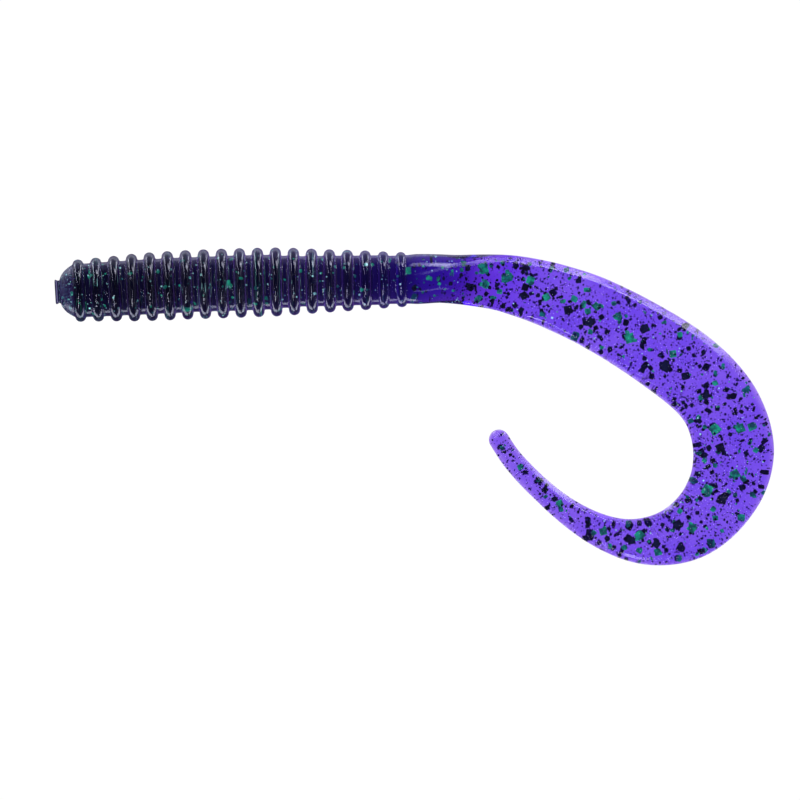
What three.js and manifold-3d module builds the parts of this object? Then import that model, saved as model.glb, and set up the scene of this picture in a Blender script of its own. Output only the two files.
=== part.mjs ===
// A curl-tail ringed soft plastic fishing worm, nominal 6 inch (152 mm) along its centreline.
// Millimetres, +Z up. The origin is the centre of the flat sprue face at the nose, +X runs back
// along the ringed body, and the tail curls in the XY plane towards -Y.
// The worm is one plastisol moulding with flakes cast in. Here it is cut at its flexing lines, with
// a small relief at each cut, so that the cuts hinge the way the soft plastic bends.
import * as THREE from "three";
import { mergeVertices } from "three/addons/utils/BufferGeometryUtils.js";
import Module from "manifold-3d";

const wasm = await Module();
wasm.setup();
const { degToRad, smoothstep } = THREE.MathUtils;

// ---------------------------------------------------------------- ringed body
const RING_FIRST_X = 3.37; // crest of the first ring
const RING_PITCH = 2.506;
const RING_RADII = [
  4.33, 4.45, 4.56, 4.7, 4.77, 4.82, 4.84, 4.85, 4.86, 4.85,
  4.83, 4.8, 4.68, 4.54, 4.4, 4.28, 4.15, 3.99, 3.84,
];
const CORE_RADII = [ // body radius between the rings
  3.66, 3.7, 3.72, 3.74, 3.76, 3.77, 3.78, 3.79, 3.79, 3.77,
  3.74, 3.66, 3.58, 3.52, 3.47, 3.43, 3.4, 3.37, 3.36,
];
// Half of a ring's section, as [distance from its crest along X, part of its height above the core]
const BEAD = [[0.7, 0], [0.83, 0.42], [0.55, 0.84]];
const DOME = [[0.55, 1.72], [0.75, 2.04], [1.0, 2.36], [1.5, 2.77], [2.0, 3.1], [2.45, 3.42]]; // nose [x, radius]
const NECK_START = [49.9, 3.46]; // [x, radius] just behind the last ring
const AROUND = 18; // facets round the ringed body

// Trimmed sprue stub at the nose
const NUB_LENGTH = 1.1; // along X
const NUB_WIDTH = 3.4; // along Y
const NUB_HEIGHT = 2.7; // along Z

// ---------------------------------------------------------------- centreline and ribbon
// Centreline of the ringed body [x, y]
const BODY_LINE = [
  [0, 0], [3.4, 0.08], [10.9, 0.24], [18.4, 0.37],
  [26, 0.38], [33.6, 0.32], [41, 0.2], [48.4, 0.08],
];
// Centreline of the neck and tail, and the width across it [x, y, width]
const TAIL_LINE = [
  [51.2, 0.08, 6.98], [53.8, 0.05, 6.76], [56.12, -0.14, 6.8], [58.4, -0.32, 7.15],
  [60.64, -0.54, 7.5], [62.85, -0.86, 7.98], [65.0, -1.37, 8.43], [67.12, -1.99, 8.79],
  [69.21, -2.7, 9.12], [71.26, -3.52, 9.45], [73.31, -4.39, 9.73], [75.33, -5.37, 9.94],
  [77.28, -6.45, 10.11], [79.24, -7.58, 10.3], [81.15, -8.79, 10.48], [83.06, -10.04, 10.65],
  [84.91, -11.34, 10.8], [86.73, -12.7, 10.87], [88.48, -14.15, 10.9], [90.12, -15.7, 10.94],
  [91.55, -17.38, 10.95], [92.72, -19.22, 11.0], [93.55, -21.23, 11.08], [94.1, -23.35, 11.24],
  [94.28, -25.56, 11.36], [93.98, -27.8, 11.2], [93.28, -29.93, 10.77], [92.2, -31.9, 10.2],
  [90.86, -33.68, 9.68], [89.28, -35.18, 9.25], [87.45, -36.38, 8.76], [85.41, -37.2, 8.05],
  [83.22, -37.64, 7.22], [81.01, -37.7, 6.45], [78.82, -37.38, 5.68], [76.72, -36.72, 5.0],
  [74.68, -35.8, 4.5], [72.73, -34.65, 4.05], [70.84, -33.32, 3.66], [69.05, -31.85, 3.34],
  [67.36, -30.27, 3.14], [65.76, -28.66, 3.05], [64.28, -27.0, 3.0], [62.97, -25.35, 2.96],
  [61.95, -23.72, 2.94], [61.44, -22.84, 2.94],
];
// [distance along the centreline, thickness along Z]
const THICKNESS = [
  [48, 6.8], [51, 6.76], [53, 6.6], [55, 6.2], [57, 5.45], [59, 4.6], [61, 3.75], [63, 3.0],
  [65, 2.45], [67, 2.15], [69, 2.0], [112, 2.0], [128, 1.92], [142, 1.8], [150, 1.7], [160, 1.65],
];
const FLOOR = -4.78; // the ribbon's underside lies level with the lowest ring
// [distance along the centreline, height of the underside]
const UNDERSIDE = [
  [48, -3.4], [50, -3.43], [52, -3.62], [54, -3.87], [56, -4.12], [58, -4.36],
  [60, -4.55], [62, -4.68], [65, -4.76], [67, FLOOR], [160, FLOOR],
];
const OUTER_BEVEL = 1.1; // rounded edge on the outside of the curl
const INNER_BEVEL = 0.75;
const ROUND_UNTIL = 55.5; // the neck is round up to here
const RIBBON_FROM = 63; // and a flat ribbon from here on

// The tail ends in a round tip
const TIP_ROUND = 1.47; // length of the rounding
const TIP_ANGLES = [35, 65]; // degrees round the tip at which it has a ring of points
const TIP_FLATNESS = 0.45; // part of the thickness that the tip's rings don't round away

// ---------------------------------------------------------------- flexing lines
// "bend" arches the round body, "sway" swings it sideways, "wave" flaps the thin ribbon and "curl"
// opens or closes the curl in its own plane. The ringed body has a line in each groove.
const BODY_FLEXES = RING_RADII.slice(1).map((_, i) => ({
  s: RING_FIRST_X + (i + 0.5) * RING_PITCH,
  kind: i % 2 ? "sway" : "bend",
}));
const TAIL_FLEXES = [
  { s: 52.4, kind: "swayneck" },
  { s: 57.8, kind: "neck" },
  ...[63.6, 70.8, 78.0, 85.2, 92.4, 99.6, 106.8, 114.0, 121.2, 128.4, 135.6, 142.6].map(
    (s, i) => ({ s, kind: i % 2 ? "wave" : "curl" }),
  ),
];

// A cut face stands back from its hinge line by the gap, and slopes away from that line.
const CUT_GAP = 0.15;
const slopeOf = (degrees) => Math.tan(degToRad(degrees));
const BODY_SLOPE = slopeOf(6.2);
const SWAY_NECK_SLOPE = slopeOf(5.2);
const NECK_SLOPE = slopeOf(7.5);
const WAVE_SLOPE = slopeOf(13);
const CURL_OUTER_SLOPE = slopeOf(8.6);
const CURL_INNER_SLOPE = slopeOf(3.8);
// Stand-back beyond the gap, at v across the ribbon (outwards positive) and z from its middle
const SLOPED = {
  swayneck: (v, z) => SWAY_NECK_SLOPE * Math.hypot(v, z),
  neck: (v, z) => NECK_SLOPE * Math.hypot(v, z),
  wave: (v, z) => WAVE_SLOPE * Math.abs(z),
  curl: (v) => (v > 0 ? CURL_OUTER_SLOPE * v : -CURL_INNER_SLOPE * v),
};
const relief = (kind, v, z) => CUT_GAP + SLOPED[kind](v, z);

// ---------------------------------------------------------------- flakes
// Square foil chips lying just under the ribbon's top face [x, y, size, turn in degrees]
const GREEN_FLAKES = [
  [66.6, -0.6, 1.1, 70], [69.5, -3.3, 0.95, 25], [75.6, -4.5, 0.9, 40], [80.2, -9.2, 1.3, 15],
  [78.6, -6.1, 0.95, 62], [86.2, -11.6, 0.95, 5], [91.2, -20.9, 1.35, 42], [95.3, -22.4, 1.2, 20],
  [94.4, -28.6, 1.2, 30], [90.0, -31.4, 1.35, 65], [88.1, -36.1, 1.15, 50], [80.7, -36.9, 1.2, 38],
  [69.5, -32.2, 0.9, 22], [75.6, -36.2, 1.0, 12],
];
const DARK_FLAKES = [
  [65.5, -2.7, 1.0, 30], [71.7, -4.9, 1.15, 8], [75.0, -6.9, 1.2, 47], [83.2, -8.4, 1.1, 18],
  [85.1, -13.4, 1.3, 60], [90.6, -17.6, 1.05, 33], [92.4, -25.0, 1.1, 12], [92.2, -32.6, 1.2, 75],
  [85.2, -35.9, 1.2, 28], [83.0, -38.2, 1.0, 52], [78.6, -37.4, 1.0, 10], [66.4, -29.3, 0.8, 44],
];
const FLAKE_THICKNESS = 0.1;
const FLAKE_DEPTH = 0.15; // from the ribbon's top face down to the flake
const FLAKE_CLEARANCE = 0.2; // between a flake and its pocket
const HALF_DIAGONAL = 0.71; // of a square, as a part of its side
const POCKET_MARGIN = 0.3; // between a pocket and a cut face
const POCKET_CUTTER_HEIGHT = 2;
const SEARCH_START = 58; // distance along the centreline
const SEARCH_STEP = 0.1;

// ---------------------------------------------------------------- curve and tables
const STATION_DIVISIONS = 60; // arc length samples from one station to the next
const stations = [...BODY_LINE, ...TAIL_LINE];
const curve = new THREE.CatmullRomCurve3(
  stations.map(([x, y]) => new THREE.Vector3(x, y, 0)),
  false,
  "centripetal",
);
curve.arcLengthDivisions = (stations.length - 1) * STATION_DIVISIONS;
const lengths = curve.getLengths();
const LENGTH = curve.getLength();
// [distance along the centreline, width]
const WIDTH = TAIL_LINE.map(([, , width], i) => [
  lengths[(BODY_LINE.length + i) * STATION_DIVISIONS],
  width,
]);

// Straight-line reading of a table whose rows are [distance along the centreline, value]
function lookUp(rows, s) {
  const next = rows.findIndex(([end]) => s <= end);
  const [start, from] = rows[next - 1];
  const [end, to] = rows[next];
  return from + ((to - from) * (s - start)) / (end - start);
}

// Height of the middle of the neck or ribbon
const middle = (s) => lookUp(UNDERSIDE, s) + lookUp(THICKNESS, s) / 2;

// Point on the centreline, its direction towards the tip, and the outward side of the curl
function along(s) {
  const point = curve.getPointAt(s / LENGTH);
  const ahead = curve.getTangentAt(s / LENGTH);
  return { point, ahead, outward: new THREE.Vector3(-ahead.y, ahead.x, 0) };
}

// ---------------------------------------------------------------- solids
function solid(geometry) {
  const bare = new THREE.BufferGeometry();
  bare.setAttribute("position", geometry.getAttribute("position"));
  bare.setIndex(geometry.index);
  const merged = mergeVertices(bare, 1e-4);
  const vertProperties = new Float32Array(merged.attributes.position.array);
  const triVerts = new Uint32Array(merged.index.array);
  const make = () => new wasm.Manifold(new wasm.Mesh({ numProp: 3, vertProperties, triVerts }));
  const made = make();
  if (made.volume() >= 0) return made;
  // The faces point inwards, so each triangle is turned over.
  for (let i = 0; i < triVerts.length; i += 3) {
    [triVerts[i + 1], triVerts[i + 2]] = [triVerts[i + 2], triVerts[i + 1]];
  }
  return make();
}

function geometryOf(manifold) {
  const { vertProperties, triVerts } = manifold.getMesh();
  const geometry = new THREE.BufferGeometry();
  geometry.setAttribute("position", new THREE.BufferAttribute(vertProperties, 3));
  geometry.setIndex(new THREE.BufferAttribute(triVerts, 1));
  geometry.computeVertexNormals();
  return geometry;
}

// A closed skin over rings of equal count, with a fan to a middle point at each end
function closedSkin(rings, first, last) {
  const count = rings[0].length;
  const points = [first, ...rings.flat(), last];
  const lastId = points.length - 1;
  const id = (ring, k) => 1 + ring * count + (k % count);
  const triangles = [];
  for (let k = 0; k < count; k++) triangles.push(0, id(0, k), id(0, k + 1));
  for (let j = 0; j + 1 < rings.length; j++) {
    for (let k = 0; k < count; k++) {
      triangles.push(id(j, k), id(j + 1, k), id(j + 1, k + 1));
      triangles.push(id(j, k), id(j + 1, k + 1), id(j, k + 1));
    }
  }
  const end = rings.length - 1;
  for (let k = 0; k < count; k++) triangles.push(lastId, id(end, k + 1), id(end, k));
  const geometry = new THREE.BufferGeometry();
  geometry.setAttribute("position", new THREE.Float32BufferAttribute(points.flat(), 3));
  return solid(geometry.setIndex(triangles));
}

// ---------------------------------------------------------------- materials
const bodyPlastisol = () => new THREE.MeshStandardMaterial({ color: 0x241a4a, roughness: 0.15 });
const tailPlastisol = () => new THREE.MeshStandardMaterial({ color: 0x7a4dec, roughness: 0.15 });
const greenFoil = () =>
  new THREE.MeshStandardMaterial({ color: 0x149b70, roughness: 0.25, metalness: 0.6 });
const darkFoil = () =>
  new THREE.MeshStandardMaterial({ color: 0x16142e, roughness: 0.3, metalness: 0.3 });

const worm = new THREE.Group();
worm.name = "curl_tail_worm";
const twoDigits = (number) => String(number).padStart(2, "0");

function addMesh(name, manifold, material) {
  const mesh = new THREE.Mesh(geometryOf(manifold), material);
  mesh.name = name;
  worm.add(mesh);
}

// ---------------------------------------------------------------- nose and ringed body
// One ring as [x, radius] points, from its nose side to its tail side
function ringProfile(i) {
  const crestX = RING_FIRST_X + i * RING_PITCH;
  const core = CORE_RADII[i];
  const height = RING_RADII[i] - core;
  const half = (side) => BEAD.map(([dx, part]) => [crestX + side * dx, core + part * height]);
  return [...half(-1), [crestX, core + height], ...half(1).reverse()];
}

// A shallow cone leaves room for the bend at a cut face.
const coneFront = (x, radius, slope) => [
  [x + CUT_GAP, 0],
  [x + CUT_GAP + radius * slope, radius],
];
const coneBack = (x, radius, slope) => [
  [x - CUT_GAP - radius * slope, radius],
  [x - CUT_GAP, 0],
];

// A turned section of the body, laid along the centreline between two distances
function turned(profile, startX, endX) {
  const start = along(startX).point;
  const end = along(endX).point;
  const heading = Math.atan2(end.y - start.y, end.x - start.x);
  const place = new THREE.Matrix4().makeTranslation(start.x, start.y, 0)
    .multiply(new THREE.Matrix4().makeRotationZ(heading))
    .multiply(new THREE.Matrix4().makeTranslation(-startX, 0, 0))
    .multiply(new THREE.Matrix4().makeRotationZ(-Math.PI / 2))
    .multiply(new THREE.Matrix4().makeRotationY(Math.PI / AROUND));
  const points = profile.map(([x, radius]) => new THREE.Vector2(radius, x));
  return solid(new THREE.LatheGeometry(points, AROUND).applyMatrix4(place));
}

function noseSection() {
  const endX = BODY_FLEXES[0].s;
  const back = coneBack(endX, CORE_RADII[0], BODY_SLOPE);
  const nose = turned([[DOME[0][0], 0], ...DOME, ...ringProfile(0), ...back], 0, endX);
  const nub = new THREE.BoxGeometry(NUB_LENGTH, NUB_WIDTH, NUB_HEIGHT);
  return nose.add(solid(nub.translate(NUB_LENGTH / 2, 0, 0)));
}

function ringSection(i) {
  const startX = BODY_FLEXES[i - 1].s;
  const endX = BODY_FLEXES[i].s;
  const front = coneFront(startX, CORE_RADII[i], BODY_SLOPE);
  const back = coneBack(endX, CORE_RADII[i], BODY_SLOPE);
  return turned([...front, ...ringProfile(i), ...back], startX, endX);
}

// The collar holds the last ring and the start of the smooth neck.
function collarSection() {
  const i = BODY_FLEXES.length;
  const startX = BODY_FLEXES[i - 1].s;
  const endX = TAIL_FLEXES[0].s;
  const front = coneFront(startX, CORE_RADII[i], BODY_SLOPE);
  const back = coneBack(endX, lookUp(WIDTH, endX) / 2, SWAY_NECK_SLOPE);
  return turned([...front, ...ringProfile(i), NECK_START, ...back], startX, endX);
}

addMesh("nose_section", noseSection(), bodyPlastisol());
for (let i = 1; i < BODY_FLEXES.length; i++) {
  addMesh("ring_section_" + twoDigits(i + 1), ringSection(i), bodyPlastisol());
}
addMesh("collar_section", collarSection(), bodyPlastisol());

// ---------------------------------------------------------------- neck and tail
// Outline across the neck or ribbon as [v, z]: an ellipse at the neck, a ribbon with rounded edges
// further back. v is positive on the outside of the curl.
function outline(s) {
  const w = lookUp(WIDTH, s) / 2;
  const t = lookUp(THICKNESS, s) / 2;
  const outer = Math.min(OUTER_BEVEL, 0.62 * w);
  const inner = Math.min(INNER_BEVEL, 0.55 * w);
  const centre = (inner - outer) / 2; // middle of the flat faces
  const edgeZ = 0.62 * t;
  const ribbon = [
    [w, 0], [w - 0.25 * outer, edgeZ], [w - outer, t],
    [centre, t], [-w + inner, t], [-w + 0.25 * inner, edgeZ],
    [-w, 0], [-w + 0.25 * inner, -edgeZ], [-w + inner, -t],
    [centre, -t], [w - outer, -t], [w - 0.25 * outer, -edgeZ],
  ];
  const roundness = 1 - smoothstep(s, ROUND_UNTIL, RIBBON_FROM);
  return ribbon.map(([v, z], k) => {
    const angle = (k / ribbon.length) * 2 * Math.PI;
    return [
      v + (w * Math.cos(angle) - v) * roundness,
      z + (t * Math.sin(angle) - z) * roundness,
    ];
  });
}

// Point at v across and z above the section's middle, moved on by a distance along the tangent
function pointAt(s, v, z, onward = 0) {
  const { point, ahead, outward } = along(s);
  return [
    point.x + outward.x * v + ahead.x * onward,
    point.y + outward.y * v + ahead.y * onward,
    middle(s) + z,
  ];
}

// A lofted length between two flexing lines, or up to the round tip where it has no end kind
function lofted({ s0, s1, startKind, endKind, steps }) {
  const startRelief = (v, z) => relief(startKind, v, z);
  const endRelief = (v, z) => (endKind ? relief(endKind, v, z) : 0);
  const rings = [outline(s0).map(([v, z]) => pointAt(s0, v, z, startRelief(v, z)))];
  for (let j = 1; j < steps; j++) {
    const part = j / steps;
    // Each point is spaced evenly between the cut faces, which differ round the outline.
    rings.push(outline(s0 + (s1 - s0) * part).map(([v, z], k) => {
      const start = s0 + startRelief(v, z);
      const end = s1 - endRelief(v, z);
      const s = start + (end - start) * part;
      return pointAt(s, ...outline(s)[k]);
    }));
  }
  rings.push(outline(s1).map(([v, z]) => pointAt(s1, v, z, -endRelief(v, z))));
  if (!endKind) {
    for (const angle of TIP_ANGLES.map(degToRad)) {
      const across = Math.cos(angle);
      const upright = TIP_FLATNESS + (1 - TIP_FLATNESS) * across;
      const onward = TIP_ROUND * Math.sin(angle);
      rings.push(outline(s1).map(([v, z]) => pointAt(s1, v * across, z * upright, onward)));
    }
  }
  const last = pointAt(s1, 0, 0, endKind ? -CUT_GAP : TIP_ROUND);
  return closedSkin(rings, pointAt(s0, 0, 0, CUT_GAP), last);
}

const SECTION_NAMES = [
  "neck_section",
  "tail_root_section",
  ...Array.from({ length: 11 }, (_, i) => "tail_section_" + twoDigits(i + 1)),
  "tail_tip",
];
const sections = TAIL_FLEXES.map(({ s, kind }, i) => {
  const next = TAIL_FLEXES[i + 1] ?? { s: LENGTH, kind: null };
  const steps = i === 0 ? 4 : 3;
  const span = { s0: s, s1: next.s, startKind: kind, endKind: next.kind, steps };
  return { name: SECTION_NAMES[i], ...span, made: lofted(span) };
});

// ---------------------------------------------------------------- cast-in flakes
// The upper bound wins where the ribbon is too narrow for both.
const limit = (value, low, high) => Math.min(Math.max(value, low), high);

// Nearest searched place on the centreline, and how far outwards of it the point lies
function nearestPlace(x, y) {
  let best = { distance: Infinity };
  for (let s = SEARCH_START; s <= LENGTH; s += SEARCH_STEP) {
    const { point, outward } = along(s);
    const distance = Math.hypot(point.x - x, point.y - y);
    if (distance < best.distance) {
      best = { distance, s, v: (x - point.x) * outward.x + (y - point.y) * outward.y };
    }
  }
  return best;
}

// A flake lies in a shallow pocket that opens through the ribbon's top face, clear of the
// bevelled edges and the flexing lines.
function castFlake([x, y, size, turnDegrees], name, material) {
  const nearest = nearestPlace(x, y);
  const section = sections.find(({ s0, s1 }) => nearest.s >= s0 && nearest.s < s1);
  const { s0, s1, startKind, endKind } = section;
  const reach = size * HALF_DIAGONAL + FLAKE_CLEARANCE;
  const halfWidth = lookUp(WIDTH, nearest.s) / 2;
  const v = limit(
    nearest.v,
    -halfWidth + INNER_BEVEL + reach,
    halfWidth - OUTER_BEVEL - reach,
  );
  const setback = (kind) => relief(kind, v, 1) + reach + POCKET_MARGIN;
  const s = limit(nearest.s, s0 + setback(startKind), endKind ? s1 - setback(endKind) : LENGTH);
  const [flakeX, flakeY] = pointAt(s, v, 0);
  const top = middle(s) + lookUp(THICKNESS, s) / 2;
  const turn = degToRad(turnDegrees);

  const side = size + 2 * FLAKE_CLEARANCE;
  const pocketFloor = top - FLAKE_DEPTH - FLAKE_THICKNESS - FLAKE_CLEARANCE;
  const pocket = new THREE.BoxGeometry(side, side, POCKET_CUTTER_HEIGHT)
    .rotateZ(turn)
    .translate(flakeX, flakeY, pocketFloor + POCKET_CUTTER_HEIGHT / 2);
  section.made = section.made.subtract(solid(pocket));

  const mesh = new THREE.Mesh(new THREE.BoxGeometry(size, size, FLAKE_THICKNESS), material);
  mesh.name = name;
  mesh.position.set(flakeX, flakeY, top - FLAKE_DEPTH - FLAKE_THICKNESS / 2);
  mesh.rotation.z = turn;
  return { mesh, section: section.name, size };
}

const castFlakes = (rows, prefix, material) =>
  rows.map((row, i) => castFlake(row, prefix + twoDigits(i + 1), material()));
const flakes = [
  ...castFlakes(GREEN_FLAKES, "green_flake_", greenFoil),
  ...castFlakes(DARK_FLAKES, "dark_flake_", darkFoil),
];

// The sections are added once their pockets are cut.
for (const { name, made } of sections) {
  addMesh(name, made, name === "neck_section" ? bodyPlastisol() : tailPlastisol());
}
for (const { mesh } of flakes) worm.add(mesh);

// ---------------------------------------------------------------- hinge lines
// bend, neck and wave lift the tail end when positive, sway swings it towards +Y, and curl opens
// the curl.
const UPRIGHT_KINDS = ["sway", "swayneck", "curl"];
function hinge({ s, kind }, height) {
  const { point, outward } = along(s);
  const axis = UPRIGHT_KINDS.includes(kind) ? [0, 0, 1] : [-outward.x, -outward.y, 0];
  return { kind, s, pos: [point.x, point.y, height], axis };
}

worm.userData = {
  length: LENGTH + TIP_ROUND,
  hinges: [
    ...BODY_FLEXES.map((flex) => hinge(flex, 0)),
    ...TAIL_FLEXES.map((flex) => hinge(flex, middle(flex.s))),
  ],
  // [name, section, position, size, turn in radians]
  flakes: flakes.map(({ mesh, section, size }) => [
    mesh.name, section, mesh.position.toArray(), size, mesh.rotation.z,
  ]),
};

export default worm;
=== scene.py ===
# Looks for a curl-tail ringed soft plastic worm: clear violet gel with foil flakes cast in.
# The nose is at the origin and the ringed body runs along +X; the flat tail curls towards -Y
# and back towards the body. +Z is up. Shapes are measured in mm along and across a centreline,
# with +across on its left (+Y on the body, the outer side of the curl). Meshes are in metres.
import math
from collections import namedtuple

import bpy
import numpy as np
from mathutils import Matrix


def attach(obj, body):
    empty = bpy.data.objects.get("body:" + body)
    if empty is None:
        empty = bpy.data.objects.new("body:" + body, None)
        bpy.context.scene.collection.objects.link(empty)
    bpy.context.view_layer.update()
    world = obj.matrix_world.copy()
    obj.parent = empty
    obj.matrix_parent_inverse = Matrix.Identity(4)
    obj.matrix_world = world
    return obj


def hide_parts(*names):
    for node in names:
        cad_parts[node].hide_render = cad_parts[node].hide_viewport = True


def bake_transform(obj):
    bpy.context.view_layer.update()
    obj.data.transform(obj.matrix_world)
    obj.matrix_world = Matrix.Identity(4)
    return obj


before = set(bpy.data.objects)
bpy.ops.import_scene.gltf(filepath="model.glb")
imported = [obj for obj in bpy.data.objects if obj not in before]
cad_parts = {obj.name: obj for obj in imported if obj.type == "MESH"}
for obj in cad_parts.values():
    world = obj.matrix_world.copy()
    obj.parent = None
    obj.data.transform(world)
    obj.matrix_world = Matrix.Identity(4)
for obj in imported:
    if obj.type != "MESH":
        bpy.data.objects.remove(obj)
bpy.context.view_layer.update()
MM = 1e-3
rng = np.random.default_rng(7)

# ------------------------------------------------------------------ dimensions, in mm
AROUND = 112  # points round every outline
PATH_STEP = 0.1  # between stations, along the body's profile
NECK_STEP = 0.15
RIBBON_STEP = 0.28
RIBBON_START = 63.0  # where the stations change from the neck's step to the ribbon's
SPAN_POINTS = 60  # centreline points between two measured ones

RING_FIRST_X = 3.37
RING_PITCH = 2.506
RING_RADII = [
    4.33, 4.45, 4.56, 4.7, 4.77, 4.82, 4.84, 4.85, 4.86, 4.85,
    4.83, 4.8, 4.68, 4.54, 4.4, 4.28, 4.15, 3.99, 3.84,
]
# one groove before each ring and one after the last
GROOVE_RADII = [
    3.66, 3.72, 3.76, 3.78, 3.8, 3.82, 3.84, 3.8, 3.82, 3.84,
    3.82, 3.8, 3.6, 3.5, 3.5, 3.48, 3.44, 3.46, 3.36, 3.4,
]
RINGS = len(RING_RADII)
BEAD_RADIUS = 0.79  # of each ring's rounded crest
BEAD_CLEAR = 0.14  # the bead's flanks stop this far above the groove
BEAD_FOOT = 0.05  # and meet it this much further along
# the stub's end face and side, then the dome: distance along, radius
NOSE_PATH = [
    (0.0, 0.02), (0.0, 0.6), (0.0, 1.1), (0.0, 1.5), (0.01, 1.68), (0.08, 1.75), (0.19, 1.71),
    (0.32, 1.6), (0.5, 1.56), (0.66, 1.6), (0.74, 1.72), (0.82, 1.98), (0.98, 2.3), (1.2, 2.6),
    (1.44, 2.86), (1.75, 3.1), (2.06, 3.32), (2.32, 3.46),
]
# centreline through the body: x, y
BODY_LINE = [
    [0, 0], [3.4, 0.08], [10.9, 0.24], [18.4, 0.37], [26, 0.38], [33.6, 0.32], [41, 0.2],
    [48.4, 0.08],
]
# centreline through the neck and tail: x, y, width there
TAIL_LINE = [
    [51.2, 0.08, 6.98], [53.8, 0.05, 6.76], [56.12, -0.14, 6.8], [58.4, -0.32, 7.15],
    [60.64, -0.54, 7.5], [62.85, -0.86, 7.98], [65.0, -1.37, 8.43], [67.12, -1.99, 8.79],
    [69.21, -2.7, 9.12], [71.26, -3.52, 9.45], [73.31, -4.39, 9.73], [75.33, -5.37, 9.94],
    [77.28, -6.45, 10.11], [79.24, -7.58, 10.3], [81.15, -8.79, 10.48], [83.06, -10.04, 10.65],
    [84.91, -11.34, 10.8], [86.73, -12.7, 10.87], [88.48, -14.15, 10.9], [90.12, -15.7, 10.94],
    [91.55, -17.38, 10.95], [92.72, -19.22, 11.0], [93.55, -21.23, 11.08], [94.1, -23.35, 11.24],
    [94.28, -25.56, 11.36], [93.98, -27.8, 11.2], [93.28, -29.93, 10.77], [92.2, -31.9, 10.2],
    [90.86, -33.68, 9.68], [89.28, -35.18, 9.25], [87.45, -36.38, 8.76], [85.41, -37.2, 8.05],
    [83.22, -37.64, 7.22], [81.01, -37.7, 6.45], [78.82, -37.38, 5.68], [76.72, -36.72, 5.0],
    [74.68, -35.8, 4.5], [72.73, -34.65, 4.05], [70.84, -33.32, 3.66], [69.05, -31.85, 3.34],
    [67.36, -30.27, 3.14], [65.76, -28.66, 3.05], [64.28, -27.0, 3.0], [62.97, -25.35, 2.96],
    [61.95, -23.72, 2.94], [61.44, -22.84, 2.94],
]
TIP_ROUND = 1.47  # how far the round tip reaches past the centreline's end
NECK_THICKNESS = 6.8
# distance along, thickness
THICKNESS = [
    [48, NECK_THICKNESS], [51, 6.76], [53, 6.6], [55, 6.2], [57, 5.45], [59, 4.6], [61, 3.75],
    [63, 3.0], [65, 2.45], [67, 2.15], [69, 2.0], [112, 2.0], [128, 1.92], [142, 1.8],
    [150, 1.7], [160, 1.65],
]
# distance along, height of the underside
UNDERSIDE = [
    [48, -3.4], [50, -3.43], [52, -3.62], [54, -3.87], [56, -4.12], [58, -4.36], [60, -4.55],
    [62, -4.68], [65, -4.76], [67, -4.78], [160, -4.78],
]


# ------------------------------------------------------------------ curves and noise
def between(low, high, at, start, end):
    """Straight mix of start and end as at runs from low to high."""
    return (high - at) / (high - low) * start + (at - low) / (high - low) * end


def catmull_rom(points):
    """Dense points on a centripetal Catmull-Rom line, and the length run at each."""
    p = np.array(points, float)
    p = np.vstack([2 * p[0] - p[1], p, 2 * p[-1] - p[-2]])
    spans = []
    for i in range(1, len(p) - 2):
        p0, p1, p2, p3 = p[i - 1 : i + 3]
        gaps = [max(np.linalg.norm(b - a), 1e-4) ** 0.5 for a, b in ((p0, p1), (p1, p2), (p2, p3))]
        t0, t1, t2, t3 = np.cumsum([0.0] + gaps)
        at = np.linspace(t1, t2, SPAN_POINTS, endpoint=False)[:, None]
        near, mid, far = (
            between(t0, t1, at, p0, p1), between(t1, t2, at, p1, p2), between(t2, t3, at, p2, p3),
        )
        start, end = between(t0, t2, at, near, mid), between(t1, t3, at, mid, far)
        spans.append(between(t1, t2, at, start, end))
    line = np.vstack(spans + [p[-2][None]])
    steps = np.linalg.norm(np.diff(line, axis=0), axis=1)
    return line, np.concatenate([[0], np.cumsum(steps)])


def path_lengths(points):
    return np.concatenate([[0], np.cumsum(np.hypot(*np.diff(points, axis=0).T))])


def table(rows, along):
    rows = np.asarray(rows, float)
    return np.interp(along, rows[:, 0], rows[:, 1])


def smoothed(rows, along, reach):
    return sum(table(rows, along + shift) for shift in np.linspace(-reach, reach, 7)) / 7


def smoothstep(start, end, value):
    t = np.clip((value - start) / (end - start), 0, 1)
    return t * t * (3 - 2 * t)


def unit(vectors):
    return vectors / np.maximum(np.linalg.norm(vectors, axis=-1, keepdims=True), 1e-12)


def noise(at, seed, scale):
    """Smooth 1-D noise of unit size, varying over about scale."""
    knots = np.random.default_rng(seed).standard_normal(4000)
    t = np.asarray(at) / scale + 500.0
    i = np.floor(t).astype(int)
    f = t - i
    f = f * f * (3 - 2 * f)
    return knots[i % 4000] * (1 - f) + knots[(i + 1) % 4000] * f


LINE, LINE_ALONG = catmull_rom(BODY_LINE + [row[:2] for row in TAIL_LINE])
LENGTH = float(LINE_ALONG[-1])
# distance along, width
WIDTH = np.array([[48, 6.9]] + [
    [LINE_ALONG[(len(BODY_LINE) + i) * SPAN_POINTS], row[2]] for i, row in enumerate(TAIL_LINE)
])


def line_at(along):
    """Centreline point and unit heading; the line runs straight on past either end."""
    along = np.asarray(along, float)
    inside = np.clip(along, 0, LENGTH)
    reach = 0.6  # the heading is taken over this far each way
    x, y = (np.interp(inside, LINE_ALONG, LINE[:, axis]) for axis in (0, 1))
    before, after = np.clip(inside - reach, 0, LENGTH), np.clip(inside + reach, 0, LENGTH)
    dx, dy = (
        np.interp(after, LINE_ALONG, LINE[:, axis]) - np.interp(before, LINE_ALONG, LINE[:, axis])
        for axis in (0, 1)
    )
    size = np.hypot(dx, dy)
    dx, dy = dx / size, dy / size
    past = along - inside
    return np.stack([x + dx * past, y + dy * past], -1), np.stack([dx, dy], -1)


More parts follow.
